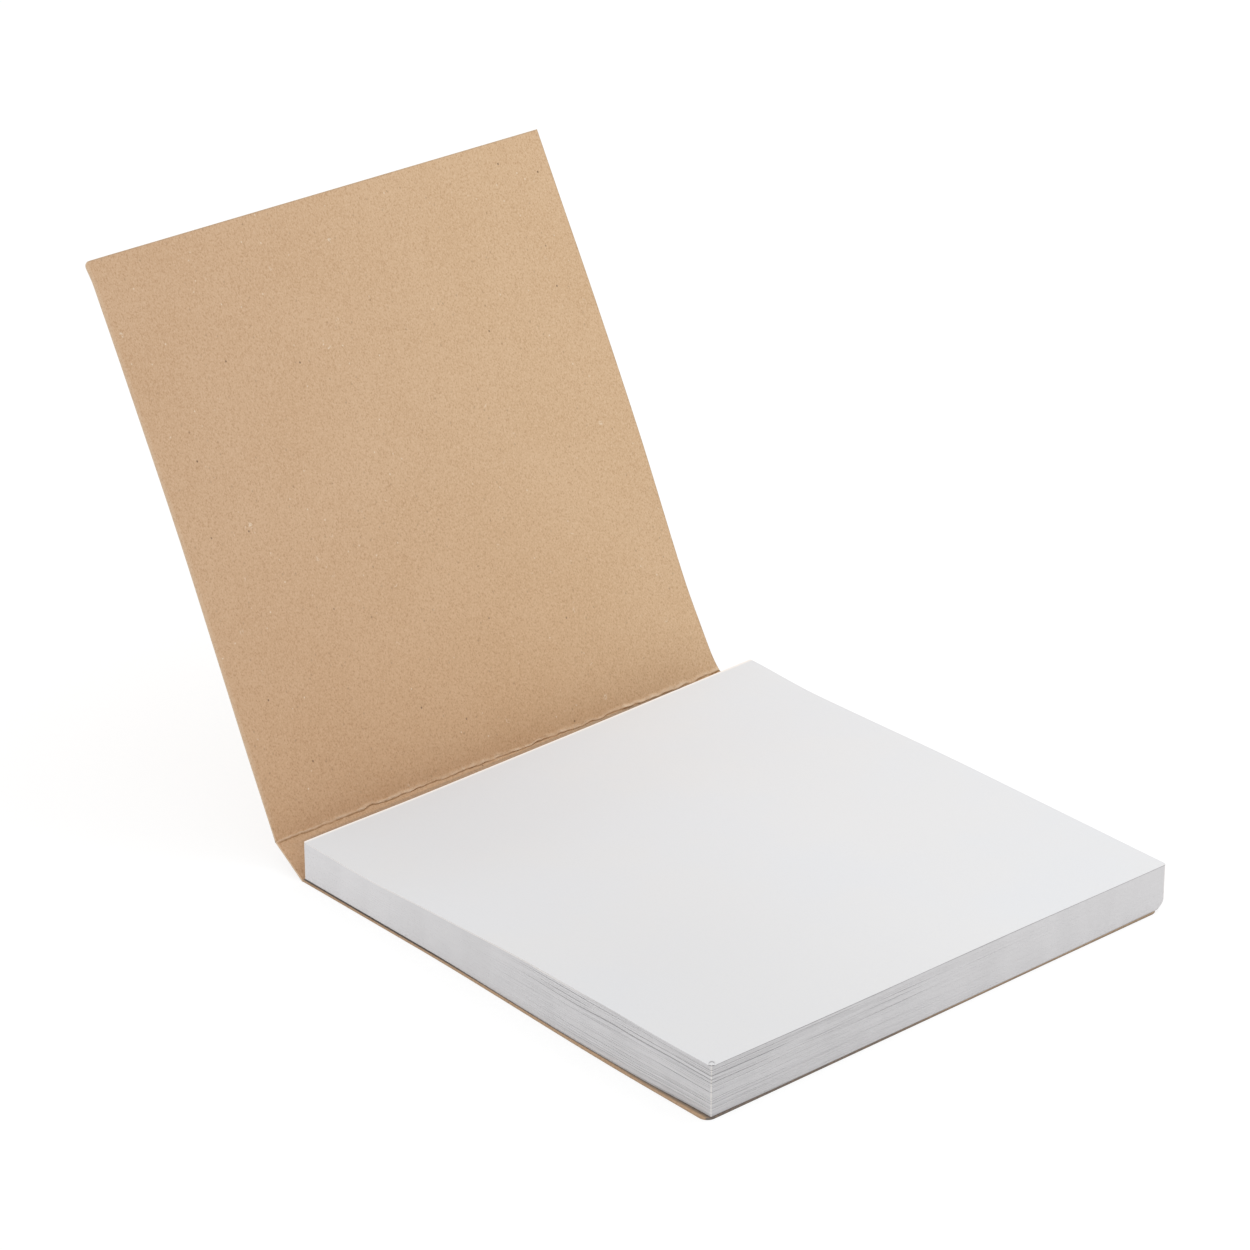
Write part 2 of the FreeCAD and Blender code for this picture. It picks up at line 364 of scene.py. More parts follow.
def kraft_material(finishes):
    """Mottled brown card with fibres, dark and pale specks, cut edges, cracked creases, painted
    shade and painted highlights.
    """
    material = bpy.data.materials.new("kraft_card_finish")
    n = Nodes(material)
    place = n.attribute("blank").outputs["Vector"]

    clouds = n.noise(place, 70, detail=3, roughness=0.6)
    mottle = n.noise(place, 620, detail=4, roughness=0.7)
    grain = n.noise(n.stretched(place, (0.8, 1.0, 1.0)), 4700, detail=2, roughness=0.65)
    base, pale, deep = tuple(finishes.kraft), tuple(finishes.kraft_pale), tuple(finishes.kraft_deep)
    base = n.blend(n.range(clouds, 0.3, 0.7, 0.0, 0.3), base, pale)
    base = n.blend(n.range(mottle, 0.45, 0.75, 0.0, 0.16), base, deep)
    base = n.blend(n.range(grain, 0.515, 0.69, 0.0, 0.8), base, deep)
    base = n.blend(n.range(grain, 0.485, 0.31, 0.0, 0.86), base, pale)

    # Painted shade: the card is darker towards its creases and its near end
    split = n.add("ShaderNodeSeparateXYZ")
    n.put(split.inputs[0], place)
    crease_shade = n.math("MULTIPLY", n.range(split.outputs[0], 45 * MM, 0.0),
                     n.range(split.outputs[1], HALF, 0.0))
    base = n.blend(crease_shade, base, (0.95, 0.915, 0.88), "MULTIPLY")
    # Painted shade: a second gradient, darker towards the near end
    base = n.blend(n.range(split.outputs[1], HALF, -HALF), base, (0.94, 0.91, 0.92), "MULTIPLY")

    def spots(scale, radius, chosen, jumble):
        """A spot in each chosen cell of a turned cell pattern."""
        node = n.add("ShaderNodeTexVoronoi", voronoi_dimensions="2D")
        n.put(node.inputs["Vector"], n.stretched(place, (0.8, 1.0, 1.0), (0, 0, jumble)))
        node.inputs["Scale"].default_value = scale
        split = n.add("ShaderNodeSeparateColor")
        n.put(split.inputs[0], node.outputs["Color"])
        picked = n.math("GREATER_THAN", split.outputs[0], 1 - chosen)
        spot = n.range(node.outputs["Distance"], radius, radius * 0.35)
        weight = n.range(split.outputs[1], 0.0, 1.0, 0.35, 1.0)
        return n.math("MULTIPLY", n.math("MULTIPLY", spot, picked), weight)

    speck, fibre = tuple(finishes.speck), tuple(finishes.fibre)
    fine = spots(950, 0.17, 0.1, 0.4)
    bold = spots(170, 0.028, 0.24, 1.3)
    base = n.blend(n.math("MULTIPLY", fine, 0.28), base, speck)
    base = n.blend(n.math("MULTIPLY", bold, 0.9), base, speck)

    # Pale curled fibres: short stretches of a noise contour
    contour = n.noise(place, 1200, detail=1.5, distortion=0.4)
    line = n.range(n.math("ABSOLUTE", n.math("SUBTRACT", contour, 0.5)), 0.05, 0.01)
    fibres = n.math("MULTIPLY", line, spots(560, 0.24, 0.035, 2.2))
    flecks = spots(760, 0.1, 0.05, 0.9)
    base = n.blend(n.math("MULTIPLY", fibres, 0.65), base, fibre)
    base = n.blend(n.math("MULTIPLY", flecks, 0.7), base, fibre)

    # Lighter cut edges and painted highlights, crack lines partly painted shade, and painted shade,
    # each a little uneven
    rough = n.noise(place, 2600, detail=2)
    for mark, low, least, tone in (("bare_and_highlight", 0.3, 0.6, finishes.kraft_cut_and_highlight),
                                   ("crack_and_shade", 0.35, 0.6, finishes.kraft_crack_shade),
                                   ("painted_shade", 0.35, 0.85, finishes.kraft_shade)):
        uneven = n.range(rough, low, 0.6, least, 1.0)
        share = n.math("MULTIPLY", n.attribute(mark).outputs["Fac"], uneven)
        base = n.blend(share, base, tuple(tone))

    n.put(n.shader.inputs["Base Color"], base)
    n.put(n.shader.inputs["Roughness"], n.range(grain, 0.3, 0.7, 0.78, 0.95))
    n.shader.inputs["Specular IOR Level"].default_value = 0.25
    low = n.bump(mottle, 0.0002, 0.25)
    n.put(n.shader.inputs["Normal"], n.bump(grain, 0.00006, 0.45, low))
    return material


def paper_material(finishes):
    """Smooth uncoated paper with the faintest cloudiness and tooth."""
    material = bpy.data.materials.new("note_paper_face")
    n = Nodes(material)
    place = n.add("ShaderNodeTexCoord").outputs["Object"]
    clouds = n.noise(place, 45, detail=3, roughness=0.6)
    tooth = n.noise(place, 3800, detail=3, roughness=0.7)
    cool, shade = tuple(finishes.paper), tuple(finishes.paper_shade)
    warm = (cool[0] * 1.012, cool[1] * 1.003, cool[2] * 0.99)
    base = n.blend(n.range(clouds, 0.35, 0.65), cool, warm)
    base = n.blend(n.range(tooth, 0.5, 0.8, 0.0, 0.04), base, shade)
    # Painted shade from the mesh
    base = n.blend(n.attribute("shade").outputs["Fac"], base, shade)
    # Painted highlight on crisp rims
    base = n.blend(n.attribute("painted_highlight").outputs["Fac"], base, tuple(finishes.paper_rim))
    n.put(n.shader.inputs["Base Color"], base)
    n.put(n.shader.inputs["Roughness"], n.range(tooth, 0.3, 0.7, 0.8, 0.92))
    n.shader.inputs["Specular IOR Level"].default_value = 0.2
    low = n.bump(clouds, 0.0004, 0.12)
    n.put(n.shader.inputs["Normal"], n.bump(tooth, 0.00002, 0.3, low))
    return material


def cut_material(finishes, count):
    """Stacked cut edges, smooth at the gum and lined with painted shade where the sheets part."""
    material = bpy.data.materials.new("note_paper_edges")
    n = Nodes(material)
    place = n.add("ShaderNodeTexCoord").outputs["Object"]
    split = n.add("ShaderNodeSeparateXYZ")
    n.put(split.inputs[0], place)
    run = n.math("ADD", split.outputs[0], split.outputs[1])
    level = n.attribute("level").outputs["Fac"]
    parted = n.attribute("parted").outputs["Fac"]

    def lines(per_sheet, per_metre, offset):
        """A noise that is drawn out along the sheets."""
        joined = n.add("ShaderNodeCombineXYZ")
        n.put(joined.inputs[0], n.math("MULTIPLY", run, per_metre))
        n.put(joined.inputs[1], n.math("MULTIPLY", level, count * per_sheet))
        joined.inputs[2].default_value = offset
        return n.noise(joined.outputs[0], 1.0, detail=2.5, roughness=0.6)

    single = lines(0.9, 80, 3.1)
    groups = lines(0.42, 34, 8.7)
    smudge = n.noise(n.stretched(place, (1.0, 1.0, 0.35)), 260, detail=3)
    base, shade = tuple(finishes.paper_cut), tuple(finishes.paper_shade)
    base = n.blend(n.range(smudge, 0.35, 0.7, 0.0, 0.07), base, shade)
    # Painted shade: lines between the sheets, darker where they part
    lined = n.math("ADD", n.range(single, 0.56, 0.66, 0.145, 0.36),
                   n.range(groups, 0.58, 0.70, 0.0, 0.12))
    base = n.blend(n.math("MULTIPLY", lined, parted), base, shade)
    # Painted shade from the mesh
    base = n.blend(n.attribute("shade").outputs["Fac"], base, shade)
    # Painted highlight on crisp rims and corners
    base = n.blend(n.attribute("painted_highlight").outputs["Fac"], base, tuple(finishes.paper_rim))
    n.put(n.shader.inputs["Base Color"], base)
    n.shader.inputs["Roughness"].default_value = 0.9
    n.shader.inputs["Specular IOR Level"].default_value = 0.15
    tooth = n.noise(n.stretched(place, (0.3, 0.3, 1.0)), 5000, detail=2)
    n.put(n.shader.inputs["Normal"], n.bump(tooth, 0.00003, 0.3))
    return material


# The block of note sheets

class BlockShape:
    """Gives any point of the block from its share along X (u), along Y (v) and up (w)."""

    def __init__(self, sizes):
        self.sizes = sizes
        self.count = sizes.count
        draw = random.Random(11)
        self.gaps = [draw.uniform(0.05, 0.30) for _ in range(self.count)]
        for from_top, gap in ((2, 0.4), (6, 0.4), (11, 0.75), (15, 0.6),
                              (18, 0.65), (22, 0.55), (28, 0.5), (36, 0.5)):
            self.gaps[self.count - from_top] = gap

    def near_out(self, u):
        """How far the near face swings out."""
        return self.sizes.near_bulge * eased(0.33, 0.75, u) * (1 - 0.5 * eased(0.82, 1.0, u))

    def near_edge(self, u):
        return -HALF - self.near_out(u)

    def free_edge(self, v):
        return HALF + self.free_out(v)

    def free_out(self, v):
        """How far the free face swings out."""
        bulge = self.sizes.free_bulge * (0.85 + 0.2 * math.sin(math.pi * v))
        return bulge * (1 - 0.2 * eased(0.7, 1.0, v))

    def parted(self, u, v):
        """How far the sheets have come apart, from none at the gum."""
        along = eased(0.36, 0.8, u) * mix(1.0, 0.9, eased(0.0, 0.04, v))
        return along * mix(1.0, 0.1, eased(0.12, 0.85, v))

    def corner_radius(self, u, v, w):
        """Radius of an upright edge; the rubbed far free one is rounder towards the card."""
        if u > 0.5 and v > 0.5:
            return self.sizes.worn_corner * mix(0.45, 2.0, clamp(1 - w / 0.2) ** 2)
        return 0.14 * MM

    def plan(self, u, v, w):
        """Place and outward direction in plan."""
        x, y = u * SPAN, v * SPAN
        far_x, far_y = u > 0.5, v > 0.5
        a = SPAN - x if far_x else x
        b = SPAN - y if far_y else y
        radius = self.corner_radius(u, v, w)
        ra, rb = rounded(a, b, radius)
        out = Vector((0.0, 0.0))
        if a < radius and b < radius:
            out = Vector((radius - ra, radius - rb))
        elif a <= b:
            out.x = 1.0
        else:
            out.y = 1.0
        out.x *= 1 if far_x else -1
        out.y *= 1 if far_y else -1
        if out.length > 0:
            out.normalize()
        x = (SPAN - ra if far_x else ra) - HALF
        y = (SPAN - rb if far_y else rb) - HALF
        x += self.free_out(v) * eased(0.4, 1.0, u)
        y -= self.near_out(u) * (1 - eased(0.0, 0.6, v))
        return x, y, out

    def top(self, u, v):
        """Height of the top sheet."""
        s = self.sizes
        flat = mix(mix(s.gummed_near, s.free_near, u), mix(s.gummed_far, s.free_far, u), v)
        swell = eased(0.30, 0.62, u) * (1 - 0.7 * eased(0.75, 1.0, u)) * (1 - v) ** 2
        dip = mix(s.near_dip * hump(0.0, 0.17, 0.34, u),
                  s.far_dip * (hump(0.0, 0.17, 0.55, u) * 0.9 + 0.1 * eased(0, 0.1, u)), v)
        far_tip = 0.19 * MM * hump(0.15, 0.66, 1.0, v) * eased(0.7, 1.0, u)
        ripple = 0.03 * MM * patch(u * SPAN, v * SPAN, 18 * MM, 3)
        sag = 0.06 * MM + s.gum_dip * eased(0.0, 0.28, v) * (1 - 0.8 * eased(0.55, 1.0, v))
        dip += sag * (1 - eased(0.0, 0.3, u))
        return flat + s.near_swell * swell - dip + far_tip + ripple * hump(0, 0.5, 1, u)

    def foot(self, u, v):
        """The underside's edge, which stands a little off the card."""
        gum = 0.12 * MM * (1 - eased(0.3, 0.5, u)) * (1 - eased(0.0, 0.9, v))
        tip = 0.08 * MM * eased(0.86, 1.0, u) * (1 - eased(0.0, 0.15, v))
        return CARD_TOP + gum + tip + 0.025 * MM

    def heights(self, u, v):
        """Shares of the height at which each sheet starts and ends, from the bottom."""
        run = (u + v) * SPAN
        parted = self.parted(u, v)
        places, height = [], 0.0
        for sheet, gap in enumerate(self.gaps):
            swing = clamp(0.6 + 1.6 * waver(run, 10 * MM, sheet + 0.5), 0.1, 1.8)
            space = 0.04 + parted * gap * swing * 1.4
            places.append((height, height + 1.0))
            height += 1.0 + space
        total = places[-1][1]
        return [(low / total, high / total) for low, high in places]

    def sideways(self, sheet, u, v):
        """How far a sheet's edge stands out from its neighbours."""
        run = (u + v) * SPAN
        single = waver(run, 22 * MM, sheet * 1.7 + 40)
        group = waver(run, 40 * MM, sheet * 0.13 + 90)
        return self.sizes.stagger * (0.25 + self.parted(u, v)) * (0.6 * single + 0.7 * group)

    def curl(self, x, y):
        """Lift of the top sheet's tip and the line of painted shade where it starts to rise."""
        across, along = HALF + self.free_out(0) - x, y + HALF + self.near_out(1)
        inward, sideways = across + along, across - along
        reach = math.hypot(inward / self.sizes.curl_reach, sideways / self.sizes.curl_reach * 2.6)
        lift = self.sizes.curl * (1 - eased(0.3, 0.95, reach))
        lift -= 0.06 * MM * hump(0.75, 1.0, 1.4, reach)
        arc = 1 - eased(0.5, 0.9, abs(sideways) / self.sizes.curl_reach * 2.6)
        return lift, arc * hump(0.75, 1.0, 1.25, reach)


class PAD_OT_note_sheets(bpy.types.Operator):
    """Make the block of note sheets"""
    bl_idname = "notepad.note_sheets"
    bl_label = "Note sheets"

    def execute(self, context):
        settings = context.scene.note_pad
        shape = BlockShape(settings.sheets)
        bm = bmesh.new()
        layers = {name: bm.verts.layers.float.new(name)
                  for name in ("u", "v", "level", "parted", "shade", "painted_highlight")}
        tip = [0.08 * MM / SPAN * step for step in range(18)]
        rows = [1 - place for place in tip[:0:-1]]
        rows = stations(0.0, rows[0], 0.0012, 0.002, 0.012)[:-1] + rows + [1.0]
        columns = tip[:-1] + stations(tip[-1], 1.0, 0.002, 0.0016, 0.012)
        grid(bm, rows, columns)
        for vert in bm.verts:
            u, v = clamp(vert.co.x), clamp(vert.co.y)
            vert[layers["u"]], vert[layers["v"]] = u, v
            x, y, out = shape.plan(u, v, 1.0)
            lift, line = shape.curl(x, y)
            vert.co = (x, y, shape.top(u, v) + lift)
            vert[layers["level"]] = 1.0
            # Painted shade: the top is dimmer towards the near edge and the gum, and darker along
            # the curl's line
            dim = 0.085 * (1 - eased(0.1, 0.7, v)) * (1 - 0.35 * hump(0.1, 0.4, 0.7, u))
            dim += 0.025 * (1 - eased(0.0, 0.3, u)) * (1 - eased(0.5, 0.85, v))
            vert[layers["shade"]] = max(line, dim)
            # Painted highlight: a lighter rim along the gummed edge
            vert[layers["painted_highlight"]] = 1 - eased(0.0028, 0.006, u)
        top_faces = bm.faces[:]

        heights = {}

        def drop_ring(ring, sheet, part):
            """Extends the wall to a sheet's upper edge, lower edge or the groove below it."""
            made = bmesh.ops.extrude_edge_only(bm, edges=ring)["geom"]
            for vert in (item for item in made if isinstance(item, bmesh.types.BMVert)):
                u, v = vert[layers["u"]], vert[layers["v"]]
                key = (round(u, 6), round(v, 6))
                if key not in heights:
                    heights[key] = shape.heights(u, v)
                low, high = heights[key][sheet]
                parted, open_gap = shape.parted(u, v), 0.0
                inward = -shape.sideways(sheet, u, v)
                share = low if part == "lower" else high
                if part == "groove":
                    below = heights[key][sheet - 1][1]
                    share = (low + below) / 2
                    open_gap = min(1.0, (low - below) * 90)
                    inward += 0.015 * MM + shape.sizes.groove * parted * open_gap
                x, y, out = shape.plan(u, v, share)
                base = shape.foot(u, v)
                level_top = shape.top(u, v)
                if sheet == shape.count - 1:
                    level_top += shape.curl(x, y)[0]
                vert.co = (x - out.x * inward, y - out.y * inward, mix(base, level_top, share))
                vert[layers["level"]] = share
                vert[layers["parted"]] = parted
                near_face, free_face = v < 0.01, u > 0.99
                # Painted shade in the grooves, under the top sheet on the free face, along the
                # bottom sheet and on the middle of the near face
                shade = parted * mix(0.2, 0.9, open_gap) if part == "groove" else 0.0
                if sheet == shape.count - 1:
                    shade = max(shade, free_face * mix(1.0, 0.85, v))
                if sheet == 0:
                    shade = max(shade, 0.3)
                shade = max(shade, 0.125 * hump(0.08, 0.4, 0.75, u) * near_face)
                vert[layers["shade"]] = shade
                # Painted highlight on the upright corners, the near face's top edge and the far
                # free corner
                corner = abs(out.x * out.y) * 2
                top_line = 0.8 * (1 - eased(0.5, 0.85, u)) * near_face * (share > 0.965)
                far_line = 0.5 * (v > 0.9) * (u > 0.9) * corner
                vert[layers["painted_highlight"]] = max(0.7 * corner * (part != "groove"), top_line, far_line)
            return [item for item in made if isinstance(item, bmesh.types.BMEdge)]

        ring = [edge for edge in bm.edges if edge.is_boundary]
        for sheet in reversed(range(shape.count)):
            if sheet < shape.count - 1:
                ring = drop_ring(ring, sheet, "upper")
            ring = drop_ring(ring, sheet, "lower")
            if sheet > 0:
                ring = drop_ring(ring, sheet, "groove")

        # The underside runs down to the card, then closes flat
        made = bmesh.ops.extrude_edge_only(bm, edges=ring)["geom"]
        inset = 3 * MM
        for vert in (item for item in made if isinstance(item, bmesh.types.BMVert)):
            x, y, out = shape.plan(vert[layers["u"]], vert[layers["v"]], 0.0)
            vert.co = (x - out.x * inset, y - out.y * inset, CARD_TOP)
            # Painted shade on the underside
            vert[layers["shade"]] = 1.0
        ring = [item for item in made if isinstance(item, bmesh.types.BMEdge)]
        bmesh.ops.holes_fill(bm, edges=ring, sides=0)

        bmesh.ops.recalc_face_normals(bm, faces=bm.faces[:])
        for face in bm.faces:
            face.smooth = False
            face.material_index = 1
        for face in top_faces:
            face.smooth = True
            face.material_index = 0
        for edge in bm.edges:
            if len({face.material_index for face in edge.link_faces}) == 2:
                edge.smooth = False
        finishes = settings.finishes
        materials = [paper_material(finishes), cut_material(finishes, shape.count)]
        sheets = add_piece("note_sheets", bm, materials, "pad", "paper_block")
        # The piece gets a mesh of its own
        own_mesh(sheets)
        return {"FINISHED"}


# The card panels

class CardShape:
    """Gives a point of each panel from its place on the flat card."""

    def __init__(self, sizes):
        self.sizes = sizes
        self.half = sizes.thickness / 2
        ends = (("near", -HALF), ("far", HALF))
        self.foot = {end: crease_end("spine_fold", y) for end, y in ends}
        self.crease = {end: crease_end("cover_fold", y) for end, y in ends}
        self.spine_width = (self.crease["near"] - self.foot["near"]).length

    def spine_lean(self, end):
        """The spine panel's angle from upright."""
        rise = self.crease[end] - self.foot[end]
        return math.atan2(-rise.x, rise.z)

    def spine_point(self, s, y):
        """Middle of the spine panel and the direction its inner face looks in."""
        share = (y + HALF) / SPAN
        ends = []
        for end in ("near", "far"):
            lean = self.spine_lean(end)
            foot = self.foot[end]
            ends.append((foot.x - s * math.sin(lean), foot.z + s * math.cos(lean), lean))
        x, z, lean = (mix(a, b, share) for a, b in zip(*ends))
        return Vector((x, y, z)), Vector((math.cos(lean), 0.0, math.sin(lean)))

    def front_point(self, s, y):
        """Middle of the front panel and the direction its inner face looks in."""
        share = (y + HALF) / SPAN
        radius = self.sizes.front_length / self.sizes.bow
        ends = []
        for end, lean in (("near", self.sizes.near_lean), ("far", self.sizes.far_lean)):
            turn = lean + s / radius
            x = self.crease[end].x + radius * (math.cos(turn) - math.cos(lean))
            z = self.crease[end].z + radius * (math.sin(turn) - math.sin(lean))
            ends.append((x, z, turn))
        x, z, turn = (mix(a, b, share) for a, b in zip(*ends))
        return Vector((x, y, z)), Vector((math.cos(turn), 0.0, math.sin(turn)))

    def crease_marks(self, reach, y):
        """Lift, crack line (partly painted shade in the groove) and rubbed ridge (partly painted
        highlight) at a distance above (below 0: under) the crease.
        """
        share = (y + HALF) / SPAN
        wander = 0.5 * waver(y, 3.8 * MM, 2) + 0.55 * waver(y, 1.9 * MM, 6)
        wander += 0.55 * waver(y, 0.9 * MM, 16)
        line = (-0.37 + 0.42 * share + 0.2 * eased(0.85, 1.0, share)) * MM
        line += self.sizes.waver * wander * eased(0.0, 5 * MM, y + HALF)
        crack = hump(line - 0.16 * MM, line, line + 0.15 * MM, reach)
        depth = mix(1.05, 0.65, eased(0.45, 0.7, share))
        crack *= clamp(depth + 0.5 * waver(y, 2.1 * MM, 15) + 0.4 * waver(y, 0.9 * MM, 33), 0.1)
        width = (0.7 + 0.18 * waver(y, 2.6 * MM, 41) + 0.12 * waver(y, 0.9 * MM, 43)) * MM
        ridge = hump(line + 0.04 * MM, line + 0.2 * MM, line + width, reach)
        ridge *= clamp(0.9 + 0.35 * waver(y, 4.5 * MM, 9) + 0.55 * waver(y, 1.1 * MM, 29), 0.1, 1.5)
        ridge *= 1 + 0.5 * hump(0.45, 0.7, 0.95, share)

        # A second, shorter crack beside the first
        branch = line + (0.42 + 0.1 * waver(y, 1.3 * MM, 47)) * MM
        second = hump(branch - 0.1 * MM, branch, branch + 0.1 * MM, reach)
        second *= 0.55 * eased(0.15, 0.6, waver(y, 5 * MM, 53)) * (1 - eased(0.6, 0.8, share))
        crack = max(crack, second)
        lift = self.sizes.ridge * (ridge - 0.5 * crack)
        # The last value lightens the ridge: partly rubbed card, partly painted highlight
        return lift, crack, 0.5 * ridge * (1 - crack)

    def near_inset(self, s):
        """How far the front panel's near edge stands in from the block's."""
        rise = 0.17 * eased(10 * MM, 42 * MM, s) - 0.3 * eased(44 * MM, 76 * MM, s)
        corner = 0.16 * eased(72.8 * MM, 75.5 * MM, s)
        return (0.22 + 0.06 * (1 - eased(0.0, 14 * MM, s)) + rise - corner) * MM

    def far_swing(self, gap, share):
        """How far the far end of the crease is crushed outwards."""
        return 0.78 * MM * math.exp(-max(0.0, gap) / (2.1 * MM)) * eased(0.9, 1.0, share)

    def half_thickness(self, edge, end_gap):
        """Half the card's thickness at a distance from a cut edge and from a crease end."""
        round_off = self.sizes.cut_round
        half = self.half
        if edge < round_off:
            half -= round_off - math.sqrt(max(0.0, round_off ** 2 - (round_off - edge) ** 2))
        if end_gap < self.half:
            half = min(half, math.sqrt(max(0.0, self.half ** 2 - (self.half - end_gap) ** 2)))
        return half


def card_panel(rows, columns, place):
    """A closed panel on a grid of the flat card; place gives each point and its marks."""
    bm = bmesh.new()
    blank = bm.verts.layers.float_vector.new("blank")
    bare_and_highlight = bm.verts.layers.float.new("bare_and_highlight")
    painted_shade = bm.verts.layers.float.new("painted_shade")
    crack_and_shade = bm.verts.layers.float.new("crack_and_shade")
    grid(bm, rows, columns)
    front = bm.verts[:]
    made = bmesh.ops.extrude_face_region(bm, geom=bm.faces[:])["geom"]
    back = [item for item in made if isinstance(item, bmesh.types.BMVert)]
    for verts, side in ((front, 1), (back, -1)):
        for vert in verts:
            s, y = vert.co.x, vert.co.y
            point, half, vert[bare_and_highlight], vert[painted_shade], vert[crack_and_shade] = place(s, y, side)
            vert.co = point
            vert[blank] = (s, y, side * half)
    bmesh.ops.remove_doubles(bm, verts=bm.verts[:], dist=1e-7)
    bmesh.ops.dissolve_degenerate(bm, edges=bm.edges[:], dist=1e-7)
    bmesh.ops.recalc_face_normals(bm, faces=bm.faces[:])
    crisp_edges(bm, math.radians(40))
    return bm


def kraft(context):
    """The card finish, which the three panels share."""
    found = bpy.data.materials.get("kraft_card_finish")
    return found or kraft_material(context.scene.note_pad.finishes)


def round_end(half, steps=5):
    """Row places that draw the half-round end of a panel at its crease."""
    return [-half * math.cos(math.pi / 2 * step / steps) for step in range(steps)] + [0.0]


class PAD_OT_back_card(bpy.types.Operator):
    """Make the back panel of the cover"""
    bl_idname = "notepad.back_card"
    bl_label = "Back panel"

    def execute(self, context):
        sizes = context.scene.note_pad.card
        shape = CardShape(sizes)
        block = BlockShape(context.scene.note_pad.sheets)
        start = shape.foot["near"].x
        half = shape.half * 0.96
        reach = HALF - start
        rows = round_end(half) + stations(0.0, reach, 0.05 * MM, SHARP_STEP, 1.2 * MM)[1:]
        columns = stations(-HALF, HALF, SHARP_STEP, SHARP_STEP, 1.2 * MM)

        def place(s, y, side):
            free, near, far = reach - s, y + HALF, HALF - y
            a, b = free, near
            edge = min(free, near, far)
            if y < 0:
                a, b = rounded(free, near, sizes.back_corner)
                near = b
            else:
                a, b = rounded(free, far, sizes.back_corner)
                near = SPAN - b
            u = clamp((reach - a) / reach)
            v = near / SPAN
            least = 0.2 * MM
            near_edge = -HALF - least - (sizes.near_ledge - least) * eased(0.28, 0.85, u)
            far_edge = HALF - sizes.far_slip * u
            x = start + (reach - a)
            x += sizes.free_ledge * mix(1.0, 0.8, eased(0.4, 0.8, v)) * eased(0.7, 1.0, u)
            point = Vector((x, mix(near_edge, far_edge, v), shape.half))
            thick = shape.half_thickness(edge, s + half)
            point.z += side * thick
            rim = 1 - eased(0.0, 0.06 * MM, edge)
            at_free = 1 - eased(0.0, 0.5 * MM, free)
            # Painted shade on the cut edges, darkest along the free edge
            painted_shade = rim * mix(0.3, mix(1.0, 0.75, v), at_free)
            if side > 0:
                # Painted shade darkens the ledge beside the block up to the paper, and beyond the
                # free edge
                far_share = eased(0.35, 0.6, v)
                painted_shade *= mix(1.0, 0.5, at_free * far_share)
                band = mix(0.28, 0.7, eased(0.75, 0.9, u)) * MM
                beside = eased(-band, -0.06 * MM, point.y - block.near_edge(u))
                beyond = eased(-0.28 * MM, -0.06 * MM, block.free_edge(v) - point.x)
                beyond *= mix(0.9, 0.45, far_share)
                painted_shade = max(painted_shade, min(0.95 * beside, 1 - (1 - beyond) * (free < 1 * MM)))
            return point, thick, 0.0, painted_shade, 0.0

        bm = card_panel(rows, columns, place)
        add_piece("back_card", bm, [kraft(context)], "pad", "back_cover")
        return {"FINISHED"}


class PAD_OT_spine_card(bpy.types.Operator):
    """Make the narrow panel between the two creases"""
    bl_idname = "notepad.spine_card"
    bl_label = "Spine panel"

    def execute(self, context):
        sizes = context.scene.note_pad.card
        shape = CardShape(sizes)
        half = shape.half
        width = shape.spine_width
        top_rows = [width - place for place in round_end(half)][::-1]
        crushed = [width - CRUSHED_STEP * step for step in range(14, 0, -1)]
        rows = round_end(half) + stations(0.0, crushed[0], 0.1 * MM, 0.08 * MM, 0.4 * MM)[1:-1]
        rows += crushed + top_rows
        columns = stations(-HALF, HALF, SHARP_STEP, SHARP_STEP, 0.27 * MM)

        def place(s, y, side):
            from_near = y + HALF
            share = from_near / SPAN
            inset = mix(-0.26 * MM, shape.near_inset(0.0), clamp(s / width))
            point, inner = shape.spine_point(s, y + inset * (1 - share))
            point.y += shape.far_swing(width - s, share)
            edge = min(from_near, HALF - y)
            thick = shape.half_thickness(edge, min(s, width - s) + half)
            rumple = 0.02 * MM * patch(s, y, 2.2 * MM, 5) * hump(0, width / 2, width, s)
            rim = 1 - eased(0.0, 0.06 * MM, edge)
            lift = crack_shade = rubbed = painted_shade = 0.0
            if side > 0:
                lift, crack_shade, rubbed = shape.crease_marks(s - width, y)
                # Painted shade: below a slanting line the panel is darker, down beside the block,
                # and the whole inner face is a little darker
                line = (1.42 - 1.5 * share) * MM
                painted_shade = eased(line - 0.22 * MM, line - 0.06 * MM, width - s)
                painted_shade *= eased(1 * MM, 6 * MM, from_near) * mix(0.27, 0.4, eased(0.6, 0.8, share))
                painted_shade = (painted_shade + 0.09) * (1 - rim)
            point += inner * (side * thick + rumple + lift * eased(0.0, 0.25 * MM, edge))
            # Lighter cut rims, and the ridge's painted highlight
            return point, thick, max(0.6 * rim, rubbed), painted_shade, crack_shade * (1 - rim)

        bm = card_panel(rows, columns, place)
        add_piece("spine_card", bm, [kraft(context)], "spine", "spine_panel")
        return {"FINISHED"}


